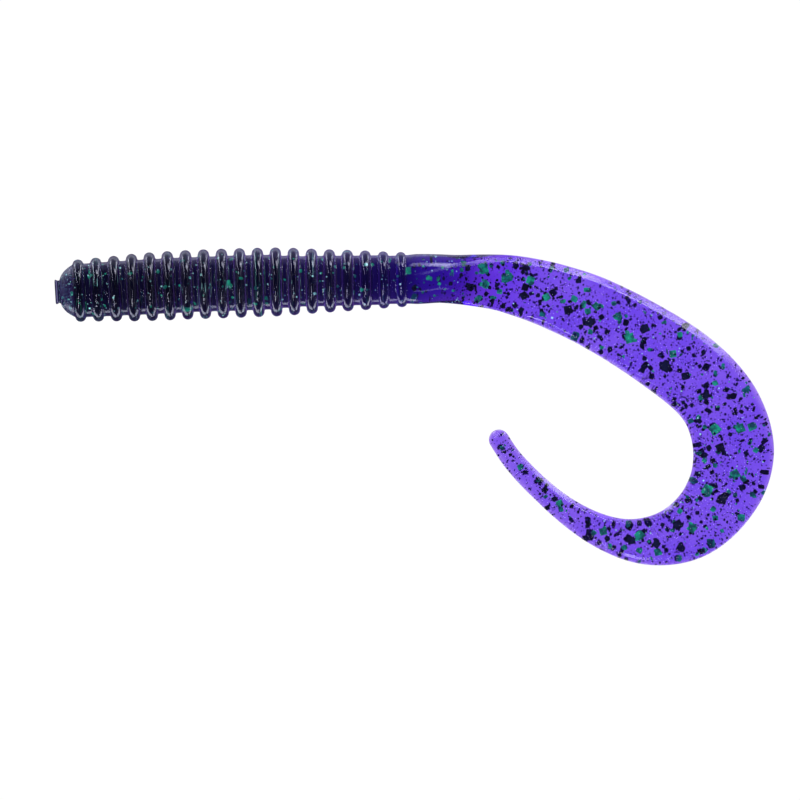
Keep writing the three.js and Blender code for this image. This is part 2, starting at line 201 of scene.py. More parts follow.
def along_and_across(x, y):
    """Distance along and across the centreline of a place seen from above."""
    along = float(LINE_ALONG[int(np.argmin(np.hypot(LINE[:, 0] - x, LINE[:, 1] - y)))])
    (line_x, line_y), (dx, dy) = line_at(along)
    return along, -(x - line_x) * dy + (y - line_y) * dx


# ------------------------------------------------------------------ the round body's profile
def ring_x(number):
    return RING_FIRST_X + number * RING_PITCH


def ring_path():
    """Nose, beads and grooves as a path of (distance along, radius)."""
    path = list(NOSE_PATH)
    for i, crest in enumerate(RING_RADII):
        x = ring_x(i)
        before, after = GROOVE_RADII[i : i + 2]
        bead = []
        for degrees in np.linspace(-112, 112, 19):
            angle = math.radians(degrees)
            place = x + BEAD_RADIUS * math.sin(angle)
            radius = crest - BEAD_RADIUS + BEAD_RADIUS * math.cos(angle)
            if radius > (before if place < x else after) + BEAD_CLEAR:
                bead.append((place, radius))
        path.append((bead[0][0] - BEAD_FOOT, before))
        path += bead
        path.append((bead[-1][0] + BEAD_FOOT, after))
        if i < RINGS - 1:
            path.append((x + RING_PITCH / 2, after))
    return np.array(path)


def body_profile():
    """The path sampled at even steps, with its corners softened."""
    path = ring_path()
    lengths = path_lengths(path)
    even = np.linspace(0, lengths[-1], int(lengths[-1] / PATH_STEP))
    profile = [np.interp(even, lengths, path[:, column]) for column in (0, 1)]
    for values in profile:
        values[2:-2] = 0.25 * values[1:-3] + 0.5 * values[2:-2] + 0.25 * values[3:-1]
    return profile


BODY_ALONG, BODY_RADIUS = body_profile()
NECK_START = float(BODY_ALONG[-1])

# ------------------------------------------------------------------ outlines: (across, up)
ANGLE = np.linspace(0, 2 * np.pi, AROUND, endpoint=False)
COS, SIN = np.cos(ANGLE), np.sin(ANGLE)


def round_outline(along, radius):
    """A circle, squarer and flatter at the nose stub, with a faint mould line at each side."""
    stub = 1 - smoothstep(0.5, 1.3, along)
    power = 2 + 4.5 * stub
    height = radius * (1 - 0.19 * stub)
    squared = (np.abs(COS) / radius) ** power + (np.abs(SIN) / height) ** power
    reach = 1 / squared ** (1 / power)
    seam = 0.028 * np.exp(-((SIN * radius / 0.09) ** 2)) * (1 - stub)
    return np.stack([(reach + seam) * COS, (reach + seam) * SIN], -1)


def ribbon_outline(w, t, along):
    """Half width w and half thickness t: flat underside, bevelled top edges, rounded sides."""
    bevel_out = min(0.62 * w, 1.12 - 0.35 * float(smoothstep(96, 112, along)))
    bevel_in = min(0.5 * w, 0.66)
    drop_out = 0.72 * bevel_out * min(1.0, t / 0.9)
    drop_in = 0.95 * bevel_in * min(1.0, t / 0.9)
    lower = min(0.28, 0.25 * w)
    side = 0.16
    # across, up, reach of the corner's easing; the three with no easing are anchors
    corners = [
        (w, -t + lower, 0.0),
        (w, t - drop_out - side, 0.14), (w - side * 0.8, t - drop_out, 0.2),
        (w - bevel_out, t, 0.24), (0.0, t, 0.0), (-w + bevel_in, t, 0.2),
        (-w + side * 0.8, t - drop_in, 0.2), (-w, t - drop_in - side, 0.14),
        (-w, -t + lower, 0.22), (-w + lower, -t, 0.22), (0.0, -t, 0.0), (w - lower, -t, 0.22),
    ]
    places = [np.array(corner[:2]) for corner in corners]
    points, anchors = [], []
    for i, (corner, (_, _, ease)) in enumerate(zip(places, corners)):
        if ease == 0:
            anchors.append(len(points))
            points.append(corner)
            continue
        to_last = places[i - 1] - corner
        to_next = places[(i + 1) % len(places)] - corner
        ends = []
        for way in (to_last, to_next):
            size = np.linalg.norm(way)
            ends.append(corner + way / max(size, 1e-9) * min(ease, 0.45 * size))
        for f in np.linspace(0, 1, 6):
            points.append((1 - f) ** 2 * ends[0] + 2 * f * (1 - f) * corner + f * f * ends[1])
    points = np.array(points + [places[0]])
    lengths = path_lengths(points)
    # outer side, top middle, inner side and bottom middle keep in step with a circle's quarters
    _, top, bottom = anchors
    inner = int(np.argmin(points[:, 0] + 1e-3 * np.abs(points[:, 1])))
    quarters = [0, lengths[top], lengths[inner], lengths[bottom], lengths[-1]]
    at = np.interp(np.arange(AROUND) / AROUND * 4, [0, 1, 2, 3, 4], quarters)
    return np.stack([np.interp(at, lengths, points[:, axis]) for axis in (0, 1)], -1)


def tail_outline(along):
    """An oval at the neck that turns into the ribbon."""
    half = float(smoothed(WIDTH, along, 0.9)) / 2 + 0.03 * float(noise(along, 11, 6.0))
    half_up = float(smoothed(THICKNESS, along, 0.7)) / 2
    roundness = 1 - float(smoothstep(56.5, 64.0, along))
    oval = np.stack([half * COS, half_up * SIN], -1)
    if roundness == 1:
        return oval
    return oval * roundness + ribbon_outline(half, half_up, along) * (1 - roundness)


# ------------------------------------------------------------------ stations and the skin's grid
def stations():
    """Distance along, outline and middle height of every station, nose to tip."""
    along, outlines, middle = [], [], []
    for place, radius in zip(BODY_ALONG, BODY_RADIUS):
        wobble = 0.012 * float(noise(place, 3, 2.5))
        outlines.append(round_outline(place, radius + wobble * (radius > 2.0)))
        along.append(place)
        middle.append(0.0)
    end_circle = np.stack([BODY_RADIUS[-1] * COS, BODY_RADIUS[-1] * SIN], -1)
    ribbon_count = int((LENGTH - RIBBON_START) / RIBBON_STEP)
    for place in np.concatenate([
        np.arange(NECK_START + 0.12, RIBBON_START, NECK_STEP),
        np.linspace(RIBBON_START, LENGTH, ribbon_count),
    ]):
        # ease from the last groove into the neck
        ease = 1 - float(smoothstep(NECK_START, NECK_START + 1.6, place))
        outlines.append(tail_outline(place) * (1 - ease) + end_circle * ease)
        along.append(place)
        height = smoothed(UNDERSIDE, place, 0.7) + smoothed(THICKNESS, place, 0.7) / 2
        middle.append(float(height) * (1 - ease))
    across, up = outlines[-1].T
    for degrees in np.linspace(8, 88, 9):  # the round tip
        cos, sin = math.cos(math.radians(degrees)), math.sin(math.radians(degrees))
        outlines.append(np.stack(
            [across * cos, up.min() + (up - up.min()) * (0.3 + 0.7 * cos)], -1
        ))
        along.append(LENGTH + TIP_ROUND * sin)
        middle.append(middle[-1])
    return np.array(along), np.array(outlines), np.array(middle)


ALONG, OUTLINES, MIDDLE = stations()
LAST = len(ALONG) - 1
CENTRE, HEADING = line_at(ALONG)
ACROSS, UP = OUTLINES[..., 0], OUTLINES[..., 1]


def skin_grid():
    """Points of the whole skin, in mm, one row per station."""
    grid = np.zeros((LAST + 1, AROUND, 3))
    grid[..., 0] = CENTRE[:, None, 0] - HEADING[:, None, 1] * ACROSS
    grid[..., 1] = CENTRE[:, None, 1] + HEADING[:, None, 0] * ACROSS
    grid[..., 2] = MIDDLE[:, None] + UP
    # slow swells along the ribbon's top
    swell = 0.035 * noise(ALONG[:, None] + ACROSS * 0.6, 21, 5.0)
    swell += 0.02 * noise(ALONG[:, None] - ACROSS * 0.9, 22, 2.2)
    top = smoothstep(0.1, 0.9, UP / np.maximum(UP.max(1, keepdims=True), 1e-6))
    grid[..., 2] += swell * (top * smoothstep(56, 62, ALONG)[:, None])
    return grid


def skin_normals(grid):
    """Outward normals over the whole skin, so that the seams between pieces don't show."""
    around = np.roll(grid, -1, 1) - np.roll(grid, 1, 1)
    forward = np.zeros_like(grid)
    forward[1:-1] = grid[2:] - grid[:-2]
    forward[0], forward[-1] = grid[1] - grid[0], grid[-1] - grid[-2]
    normals = unit(np.cross(around, forward))
    normals[0] = np.array([-HEADING[0, 0], -HEADING[0, 1], 0])
    normals[1] = unit(normals[1] + normals[0])
    return normals


GRID = skin_grid()
NORMALS = skin_normals(GRID)

# ------------------------------------------------------------------ cast-in flakes
# depth is below the top face. In the round body, across is the angle round it in radians and
# depth is the distance from its middle. turn, tilt and tilt_way are in degrees.
Flake = namedtuple(
    "Flake", "kind along across depth length width turn tilt tilt_way in_body", defaults=[False]
)
FLAKES = []


def scatter(kind, count, along, size, spread, depth, tilt, apart=0, aspect=(1.0, 1.0),
            margin=0.3, thin_ends=False):
    """Flakes over the tail, at least apart from each other and margin in from its edges."""
    made = []
    tries = 0
    while len(made) < count and tries < count * 60:
        tries += 1
        place = rng.uniform(*along)
        half = float(table(WIDTH, place)) / 2 if place > 50 else 3.4
        if rng.uniform() > half / 5.7:  # fewer where it is narrow
            continue
        if thin_ends and rng.uniform() > (1.0 if 62 < place < 150 else 0.45):
            continue
        length = size * math.exp(spread * rng.standard_normal())
        if half > margin + length * 0.4:
            across = rng.uniform(-half + margin + length * 0.35, half - margin - length * 0.35)
        else:
            across = rng.uniform(-0.2, 0.2)
        if apart and any(abs(place - x) < apart and abs(across - y) < apart for x, y in made):
            continue
        made.append((place, across))
        width = length * rng.uniform(*aspect)
        if rng.uniform() > 0.08:
            lean = abs(rng.standard_normal()) * tilt
        else:  # a few stand steeply
            lean = rng.uniform(40, 80)
        FLAKES.append(Flake(
            kind, place, across, rng.uniform(*depth), length, width,
            rng.uniform(0, 360), min(lean, 80), rng.uniform(0, 360),
        ))


def body_scatter(kind, count, size, spread, inset, tilt, along=(0.8, 57)):
    """Flakes in the round body, inset mm below its surface."""
    for _ in range(count):
        place = rng.uniform(*along)
        angle = rng.uniform(0, 2 * np.pi)
        length = size * math.exp(spread * rng.standard_normal())
        surface = 3.3
        if place < NECK_START - 0.4:
            near = place + np.linspace(-0.6, 0.6, 7) * length
            surface = float(np.interp(near, BODY_ALONG, BODY_RADIUS).min())
        radius = surface - rng.uniform(*inset)
        if radius < length * 0.7:
            continue
        FLAKES.append(Flake(
            kind, place, angle, radius, length, length * rng.uniform(0.85, 1.0),
            rng.uniform(0, 360), abs(rng.standard_normal()) * tilt, rng.uniform(0, 360), True,
        ))


def add_beside(kind, along, across, angle, radius, size, depth, tilt):
    """One smaller chip beside a large flake, at an angle and radius from its middle."""
    FLAKES.append(Flake(
        kind, along + radius * math.cos(angle), across + radius * math.sin(angle),
        rng.uniform(*depth), size, size, rng.uniform(0, 360), tilt, rng.uniform(0, 360),
    ))


def clump_cad_flakes():
    """Smaller chips against each CAD flake."""
    for name, flake in sorted(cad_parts.items()):
        if "flake" not in name:
            continue
        box = np.array([(flake.matrix_world @ v.co)[:] for v in flake.data.vertices]) / MM
        middle = (box.min(0) + box.max(0)) / 2
        along, across = along_and_across(middle[0], middle[1])
        size = float(np.ptp(box[:, :2], axis=0).mean())
        for _ in range(4):
            angle = rng.uniform(0, 2 * np.pi)
            radius = size * rng.uniform(0.28, 0.5)
            chip = size * rng.uniform(0.2, 0.42)
            green = name.startswith("green") and rng.uniform() < 0.75
            if 57 <= along <= LENGTH - 2:
                add_beside("green" if green else "dark", along, across, angle, radius, chip,
                           depth=(0.1, 0.9), tilt=6.0)


# large flakes in the neck and at the tail's root: kind, x, y, size
PLACED_FLAKES = [
    ("green", 60.0, 1.42, 1.5), ("green", 60.15, -0.95, 1.35), ("green", 57.2, 2.0, 0.75),
    ("green", 63.4, -0.1, 1.75), ("green", 52.3, 0.15, 0.8), ("green", 55.6, 0.75, 0.75),
    ("dark", 58.3, -1.3, 1.3), ("dark", 65.9, 1.05, 1.35), ("dark", 61.9, -1.3, 0.9),
    ("dark", 61.0, -3.35, 0.9), ("dark", 62.6, -4.1, 0.7), ("dark", 50.3, -1.2, 0.85),
]


def place_flakes():
    for kind, x, y, size in PLACED_FLAKES:
        along, across = along_and_across(x, y)
        FLAKES.append(Flake(
            kind, along, across, 0.15, size * 0.75, size * 0.7,
            rng.uniform(0, 90), 5.0, rng.uniform(0, 360),
        ))
        for _ in range(6):
            angle = rng.uniform(0, 2 * np.pi)
            radius = size * rng.uniform(0.25, 0.5)
            chip = size * rng.uniform(0.25, 0.5)
            add_beside(kind, along, across, angle, radius, chip, depth=(0.1, 0.5), tilt=8.0)


scatter("green", count=88, along=(56, LENGTH), size=0.74, spread=0.22, depth=(0.05, 1.0),
        tilt=9, apart=0.8, aspect=(0.85, 1.0))
scatter("dark", count=30, along=(58, LENGTH - 6), size=1.0, spread=0.15, depth=(0.2, 1.5),
        tilt=7, apart=1.5, aspect=(0.8, 1.0))
scatter("dark", count=185, along=(57, LENGTH), size=0.66, spread=0.16, depth=(0.15, 1.7),
        tilt=9, apart=0.45, aspect=(0.8, 1.0), thin_ends=True)
scatter("dark", count=230, along=(57, LENGTH), size=0.36, spread=0.2, depth=(0.12, 1.7),
        tilt=12, apart=0.2, aspect=(0.75, 1.0), thin_ends=True)
scatter("green", count=60, along=(57, LENGTH), size=0.34, spread=0.25, depth=(0.05, 1.0),
        tilt=12, apart=0.2, aspect=(0.8, 1.0))
scatter("pepper", count=1450, along=(54, LENGTH + 0.6), size=0.2, spread=0.2,
        depth=(0.08, 1.85), tilt=16, aspect=(0.5, 1.5), margin=0.12)
scatter("dust", count=2600, along=(55, LENGTH + 0.6), size=0.105, spread=0.2,
        depth=(0.06, 1.85), tilt=16, aspect=(0.6, 1.4), margin=0.08)
scatter("sparkle", count=110, along=(52, LENGTH), size=0.16, spread=0.2, depth=(0.03, 0.3),
        tilt=14, aspect=(0.8, 1.1), margin=0.1)
body_scatter("green", count=110, size=0.5, spread=0.3, inset=(0.14, 1.0), tilt=14)
body_scatter("green", count=150, size=0.27, spread=0.3, inset=(0.07, 0.3), tilt=14)
body_scatter("dark", count=44, size=0.5, spread=0.15, inset=(0.4, 1.4), tilt=20)
body_scatter("pepper", count=320, size=0.16, spread=0.15, inset=(0.12, 1.2), tilt=30)
body_scatter("sparkle", count=560, size=0.14, spread=0.4, inset=(0.05, 0.25), tilt=14)
body_scatter("sparkle", count=110, size=0.1, spread=0.3, inset=(0.05, 0.16), tilt=14,
             along=(0.95, 2.6))
clump_cad_flakes()
place_flakes()


def faces_at(along, across, size):
    """Heights of the under and top faces over a flake, wherever they come closest."""
    low, high = -1e9, 1e9
    reach = 0.75 if size > 0.35 else 0.5
    half = AROUND // 2
    for shift in (-reach, reach):
        i = int(np.clip(np.searchsorted(ALONG, along + shift * size), 0, LAST - 9))
        outline = OUTLINES[i]
        for sideways in (-reach, 0, reach):
            x = across + sideways * size
            top = np.interp(x, outline[: half + 1, 0][::-1], outline[: half + 1, 1][::-1])
            under = np.interp(x, outline[half:, 0], outline[half:, 1])
            high, low = min(high, MIDDLE[i] + top), max(low, MIDDLE[i] + under)
    return low, high


def flake_axes(flake):
    """A flake's centre, its length and width directions, and its normal."""
    point, heading = line_at(flake.along)
    ahead = np.array([heading[0], heading[1], 0.0])
    aside = np.array([-heading[1], heading[0], 0.0])
    up = np.array([0, 0, 1.0])
    if flake.in_body:
        cos, sin = math.cos(flake.across), math.sin(flake.across)
        squash = 1.0
        if flake.along >= 52.5:
            squash = float(table(THICKNESS, flake.along)) / NECK_THICKNESS
        centre = np.array([point[0], point[1], float(np.interp(flake.along, ALONG, MIDDLE))])
        centre = centre + aside * (flake.depth * cos) + up * (flake.depth * sin * squash)
        normal = aside * cos + up * sin
        first, second = ahead, np.cross(normal, ahead)
    else:
        low, high = faces_at(flake.along, flake.across, flake.length)
        # room for its tilt
        keep = 0.05 + 0.7 * flake.length * math.sin(math.radians(flake.tilt))
        z = (low + high) / 2
        if high - low > 2 * keep:
            z = min(max(high - flake.depth, low + keep), high - keep)
        x, y = point + aside[:2] * flake.across
        centre = np.array([x, y, z])
        normal, first, second = up, ahead, aside
    turn = math.radians(flake.turn)
    cos, sin = math.cos(turn), math.sin(turn)
    first, second = first * cos + second * sin, -first * sin + second * cos
    way, tilt = math.radians(flake.tilt_way), math.radians(flake.tilt)
    axis = first * math.cos(way) + second * math.sin(way)
    cos, sin = math.cos(tilt), math.sin(tilt)

    def tilted(v):
        return v * cos + np.cross(axis, v) * sin + axis * (axis @ v) * (1 - cos)

    return centre, tilted(first), tilted(second), tilted(normal)


# ------------------------------------------------------------------ where the worm flexes
# the CAD bodies in order, and the distance along at which each hands over to the next
CHAIN = ["nose_section"] + ["ring_section_%02d" % i for i in range(2, RINGS)]
CHAIN += ["collar_section", "neck_section", "tail_root_section"]
CHAIN += ["tail_section_%02d" % i for i in range(1, 12)] + ["tail_tip"]
CUTS = [ring_x(i + 0.5) for i in range(RINGS - 1)] + [52.4, 57.8]
CUTS += [63.6, 70.8, 78.0, 85.2, 92.4, 99.6, 106.8, 114.0, 121.2, 128.4, 135.6, 142.6]


def skin_edges():
    """Stations at which the skin's pieces meet: one inside each body, two in the end bodies."""
    seams = [1.9] + [(a + b) / 2 for a, b in zip(CUTS, CUTS[1:])] + [146.2]
    edges = [int(np.argmin(np.abs(ALONG - seam))) for seam in seams]
    for i in range(1, RINGS - 1):  # on the body every seam sits on a ring's crest
        close = np.abs(ALONG - ring_x(i)) < 0.5
        near = np.where(close & (np.arange(LAST + 1) < len(BODY_ALONG)))[0]
        edges[i] = int(near[np.argmax(BODY_RADIUS[near])])
    return [0] + edges + [LAST]


# ------------------------------------------------------------------ the gel, point by point
# absorption per mm: distance along, then red, green, blue. Dense in the body, clear in the ribbon
ABSORPTION = np.array([
    [0, 1.70, 1.75, 1.10], [0.65, 1.70, 1.75, 1.10], [1.0, 0.86, 0.90, 0.60],
    [24, 0.80, 0.86, 0.52], [40, 0.82, 0.94, 0.48], [48, 0.76, 0.94, 0.38],
    [51, 0.66, 0.92, 0.24], [57, 0.58, 0.90, 0.165], [60, 0.60, 0.96, 0.12],
    [63, 0.70, 1.10, 0.085], [69, 0.84, 1.28, 0.068], [112, 0.84, 1.28, 0.068],
    [150, 0.84, 1.27, 0.074], [160, 0.84, 1.27, 0.074],
])


def absorption_at(along):
    return np.stack([np.interp(along, ABSORPTION[:, 0], ABSORPTION[:, c]) for c in (1, 2, 3)], -1)


def gel_sigma():
    """Absorption at each point, raised along the neck's +across side as painted shade: a dark band
    down that edge.
    """
    side = ACROSS / np.maximum(ACROSS.max(1, keepdims=True), 1e-6)
    neck = smoothstep(47.5, 49, ALONG) * (1 - smoothstep(55.5, 59.5, ALONG))
    # painted shade: denser gel along the neck's +across edge
    edge_shade = smoothstep(0.62, 0.95, side) * neck[:, None]
    return absorption_at(ALONG)[:, None, :] * (1 + edge_shade[..., None] * np.array([1.3, 0.9, 3.3]))


def face_heights(outline, on_face, spare):
    """Height of one face over every point of an outline, or spare if the face has no points."""
    if on_face.sum() <= 3:
        return spare
    face = outline[on_face]
    face = face[np.argsort(face[:, 0], kind="stable")]
    return np.interp(outline[:, 0], face[:, 0], face[:, 1])


def gel_mm():
    """Gel thickness straight through from top to underside."""
    chord = np.zeros((LAST + 1, AROUND))
    for i, outline in enumerate(OUTLINES):
        up = outline[:, 1]
        under = face_heights(outline, up <= 1e-9, up.min())
        chord[i] = face_heights(outline, up >= -1e-9, up.max()) - under
    return np.clip(chord, 0.12, 2.6)


def gel_shine_with_painted_shade():
    """How much the surface mirrors: dimmed in the grooves as painted shade from the beads, less on
    the stub, and dimmed where the neck flattens as painted shade over the highlight there.
    """
    groove = np.interp(ALONG, [ring_x(i - 0.5) for i in range(RINGS + 1)], GROOVE_RADII)
    above = ACROSS.max(1) - groove
    shaded_shine = np.where(ALONG < NECK_START, 0.4 + 0.6 * smoothstep(0.1, 0.4, above), 1.0)
    shaded_shine = np.where(ALONG < 2.4, np.where(ALONG < 0.66, 0.2, 1.0), shaded_shine)
    return shaded_shine * (1 - 0.72 * smoothstep(55.0, 57.0, ALONG) * (1 - smoothstep(61.5, 66.0, ALONG)))


def per_point(by_station):
    return np.repeat(by_station[:, None], AROUND, axis=1)


DOME = smoothstep(0.62, 0.8, ALONG)  # from here on, past the stub
GEL_SIGMA = gel_sigma()
GEL_VALUES = {
    "gel_mm": gel_mm(),
    # added roughness, on the ribbon and the nose
    "gel_matt": per_point(
        0.13 * smoothstep(58, 66, ALONG) + 0.2 * DOME * (1 - smoothstep(2.1, 2.6, ALONG))
    ),
    # how much the surface mirrors, with painted shade in the grooves and where the neck flattens
    "gel_shine_with_painted_shade": per_point(gel_shine_with_painted_shade()),
    # grey speckle on the nose, drawn as a glow: painted sheen in a speckled pattern
    "gel_speckle_glow": per_point(DOME * (1 - smoothstep(2.2, 2.7, ALONG))),
    # painted rim glow along the body: none on the stub
    "gel_rim_glow": per_point(np.interp(
        ALONG, [0, 0.66, 0.9, 12, 34, 48, 60, 160], [0.0, 0.0, 0.45, 0.5, 1.1, 1.2, 0.7, 0.6]
    )),
}


# ------------------------------------------------------------------ shader node helpers
class Graph:
    """A node tree being built. Inputs may be numbers, RGB colours or other nodes' outputs."""

    def __init__(self, owner):
        owner.use_nodes = True
        self.tree = owner.node_tree
        self.tree.nodes.clear()

    def node(self, kind, inputs=None, **settings):
        made = self.tree.nodes.new(kind)
        for key, value in settings.items():
            setattr(made, key, value)
        for key, value in (inputs or {}).items():
            socket = made.inputs[key]
            if isinstance(value, bpy.types.NodeSocket):
                self.tree.links.new(value, socket)
            elif isinstance(value, tuple):
                socket.default_value = (*value, 1.0)
            else:
                socket.default_value = value
        return made

    def math(self, operation, *values, clamp=False):
        inputs = dict(enumerate(values))
        return self.node("ShaderNodeMath", inputs, operation=operation, use_clamp=clamp).outputs[0]

    def product(self, *values):
        total = values[0]
        for value in values[1:]:
            total = self.math("MULTIPLY", total, value)
        return total

    def mix_float(self, share, a, b):
        inputs = {0: share, 2: a, 3: b}
        return self.node("ShaderNodeMix", inputs, data_type="FLOAT").outputs[0]

    def mix_color(self, share, a, b, blend="MIX"):
        inputs = {0: share, 6: a, 7: b}
        return self.node("ShaderNodeMix", inputs, data_type="RGBA", blend_type=blend).outputs[2]

    def map_range(self, value, source, target=(0.0, 1.0), **settings):
        inputs = {
            "Value": value, "From Min": source[0], "From Max": source[1],
            "To Min": target[0], "To Max": target[1],
        }
        return self.node("ShaderNodeMapRange", inputs, **settings).outputs["Result"]

    def noise(self, place, scale, detail):
        inputs = {"Vector": place, "Scale": scale, "Detail": detail}
        return self.node("ShaderNodeTexNoise", inputs).outputs["Fac"]

    def attribute(self, name, output="Fac"):
        return self.node("ShaderNodeAttribute", attribute_name=name).outputs[output]

    def absorbed(self, length, sigma, scale):
        """exp(-sigma * length * scale) as a colour; length is in mm."""
        scaled = {0: sigma, "Scale": self.math("MULTIPLY", length, -scale)}
        vector = self.node("ShaderNodeVectorMath", scaled, operation="SCALE").outputs[0]
        parts = self.node("ShaderNodeSeparateXYZ", {0: vector}).outputs
        channels = {i: self.math("EXPONENT", parts[i]) for i in range(3)}
        return self.node("ShaderNodeCombineColor", channels).outputs[0]


def finish_material(material, graph, surface):
    graph.node("ShaderNodeOutputMaterial", {"Surface": surface})
    material.cycles.emission_sampling = "NONE"
    return material


# ------------------------------------------------------------------ materials
def gel_material():
    material = bpy.data.materials.new("violet_plastisol")
    graph = Graph(material)
    thick = graph.attribute("gel_mm")
    sigma = graph.attribute("gel_sigma", "Vector")
    light_path = graph.node("ShaderNodeLightPath").outputs
    inside = graph.node("ShaderNodeNewGeometry").outputs["Backfacing"]
    place = graph.node("ShaderNodeTexCoord").outputs["Object"]

    def front_only(value):
        return graph.math("MULTIPLY", value, graph.math("SUBTRACT", 1.0, inside))

    # Going in, tint by the thickness under the surface; coming out, by the distance travelled.
    ray_mm = graph.math("MINIMUM", graph.math("MULTIPLY", light_path["Ray Length"], 1000.0), 40.0)
    cloud = graph.noise(place, scale=260.0, detail=3.0)  # slow unevenness in the colour
    cloudy = graph.math("MULTIPLY_ADD", cloud, 0.35, 0.825)
    # A viewer that knows no ray lengths reads 1 here: it gets the whole tint on the front face.
    no_lengths = graph.math("COMPARE", light_path["Ray Length"], 1.0, 1e-6)
    share = graph.mix_float(no_lengths, 0.2, 2.0)
    front = graph.absorbed(graph.product(thick, cloudy, share), sigma, scale=1.0)
    back = graph.absorbed(graph.product(ray_mm, cloudy), sigma, scale=1.8)

    # wet gloss with fine pits
    pits = graph.noise(place, scale=3200.0, detail=4.0)
    patches = graph.noise(place, scale=420.0, detail=2.0)
    rough = graph.map_range(patches, source=(0.35, 0.7), target=(0.04, 0.12))
    bump = graph.node("ShaderNodeBump", {"Strength": 0.35, "Distance": 0.000006, "Height": pits})

    # painted glow: the gel gives off violet light of its own where it is seen edge-on, standing in
    # for light coming through its rims
    facing = graph.node("ShaderNodeLayerWeight", {"Blend": 0.3}).outputs["Facing"]
    rim = front_only(graph.math("POWER", facing, 2.2))
    rim = graph.math("MULTIPLY", rim, graph.attribute("gel_rim_glow"))
    grain = graph.noise(place, scale=4600.0, detail=2.0)
    speck = graph.map_range(grain, source=(0.5, 0.66), target=(0.1, 1.5))
    # painted sheen: the nose's grey-blue speckle glows with its own light
    speckle_glow = front_only(graph.math("MULTIPLY", graph.attribute("gel_speckle_glow"), speck))
    speckle_glow_share = graph.math("MULTIPLY", speckle_glow, 1.0, clamp=True)
    # violet: the colour of the painted rim glow
    violet, speckle_glow_grey_blue = (0.075, 0.022, 0.26), (0.036, 0.060, 0.10)

    # reflection dimmed by painted shade in the grooves and where the neck flattens
    shaded_shine = graph.attribute("gel_shine_with_painted_shade")
    surface = graph.node("ShaderNodeBsdfPrincipled", {
        "Base Color": graph.mix_color(inside, front, back),
        "Transmission Weight": 1.0,
        "IOR": 1.48,
        "Roughness": graph.math("ADD", rough, front_only(graph.attribute("gel_matt"))),
        "Normal": bump.outputs["Normal"],
        "Emission Color": graph.mix_color(speckle_glow_share, violet, speckle_glow_grey_blue),
        "Emission Strength": graph.math("MAXIMUM", rim, speckle_glow),
        "Specular Tint": graph.node(
            "ShaderNodeCombineColor", {0: shaded_shine, 1: shaded_shine, 2: shaded_shine}
        ).outputs[0],
    })
    # light on its way to a flake or the floor passes straight through, tinted
    tint = graph.absorbed(thick, sigma, scale=0.08)
    through = graph.node("ShaderNodeBsdfTransparent", {"Color": tint})
    soft = graph.math("MAXIMUM", light_path["Is Shadow Ray"], light_path["Is Diffuse Ray"])
    mix = graph.node("ShaderNodeMixShader", {0: soft, 1: surface.outputs[0], 2: through.outputs[0]})
    return finish_material(material, graph, mix.outputs[0])


def flake_material(name, low, high, rough, reach, gloss, metallic=0.0, glint=0.0, steep=1.0):
    """Foil from low to high colour; reach scales the gel's tint over it; glint is its own light, a
    painted glint.
    """
    material = bpy.data.materials.new(name)
    graph = Graph(material)
    place = graph.node("ShaderNodeTexCoord").outputs["Object"]
    # the colour changes from flake to flake; on the green and sparkle foils the bright end is partly
    # painted light, the glint of flakes tilted to the light
    vary = graph.map_range(graph.noise(place, scale=1100.0, detail=1.0), source=(0.38, 0.62))
    color = graph.mix_color(graph.math("POWER", vary, steep), low, high)
    # small cells break it up inside each flake
    cells = graph.node("ShaderNodeTexVoronoi", {"Vector": place, "Scale": 5200.0})
    fleck = graph.map_range(cells.outputs["Distance"], source=(0.0, 0.7), target=(1.15, 0.7))
    flecked = {0: color, "Scale": fleck}
    color = graph.node("ShaderNodeVectorMath", flecked, operation="SCALE").outputs[0]
    # gel between flake and surface tints it by the distance travelled; rays from afar don't count
    length = graph.node("ShaderNodeLightPath").outputs["Ray Length"]
    ray_mm = graph.math("MULTIPLY", length, 1000.0)
    ray_mm = graph.math("MULTIPLY", ray_mm, graph.math("LESS_THAN", ray_mm, 500.0))
    tint = graph.absorbed(ray_mm, graph.attribute("gel_sigma", "Vector"), reach)
    color = graph.mix_color(1.0, color, tint, "MULTIPLY")
    inputs = {
        "Base Color": color, "Metallic": metallic, "Roughness": rough, "Specular IOR Level": gloss,
    }
    # painted glint: the foil gives off its own colour as light
    if glint:
        inputs |= {"Emission Strength": glint, "Emission Color": color}
    surface = graph.node("ShaderNodeBsdfPrincipled", inputs)
    return finish_material(material, graph, surface.outputs[0])


def floor_material():
    material = bpy.data.materials.new("pale_floor")
    graph = Graph(material)
    diffuse = graph.node("ShaderNodeBsdfDiffuse", {"Color": (0.14, 0.14, 0.14)})
    glow = graph.node("ShaderNodeEmission", {"Color": (1.0, 1.0, 1.0), "Strength": 0.88})
    both = graph.node("ShaderNodeAddShader", {0: diffuse.outputs[0], 1: glow.outputs[0]})
    return finish_material(material, graph, both.outputs[0])


GEL = gel_material()
GREEN = flake_material("emerald_foil", low=(0.008, 0.13, 0.12), high=(0.012, 0.55, 0.27),
                       rough=0.35, reach=0.45, gloss=0.15)
BLACK = flake_material("black_foil", low=(0.006, 0.006, 0.03), high=(0.010, 0.016, 0.06),
                       rough=0.4, reach=0.3, gloss=0.05)
PEPPER = flake_material("pepper_foil", low=(0.010, 0.005, 0.08), high=(0.028, 0.014, 0.19),
                        rough=0.45, reach=0.3, gloss=0.05)
# sparkle foil: bright teal flecks that glow with their own light, painted glints
SPARK = flake_material("sparkle_foil", low=(0.0, 0.07, 0.08), high=(0.42, 1.0, 0.86),
                       rough=0.25, reach=0.8, gloss=0.3, metallic=0.2, glint=0.6, steep=1.6)


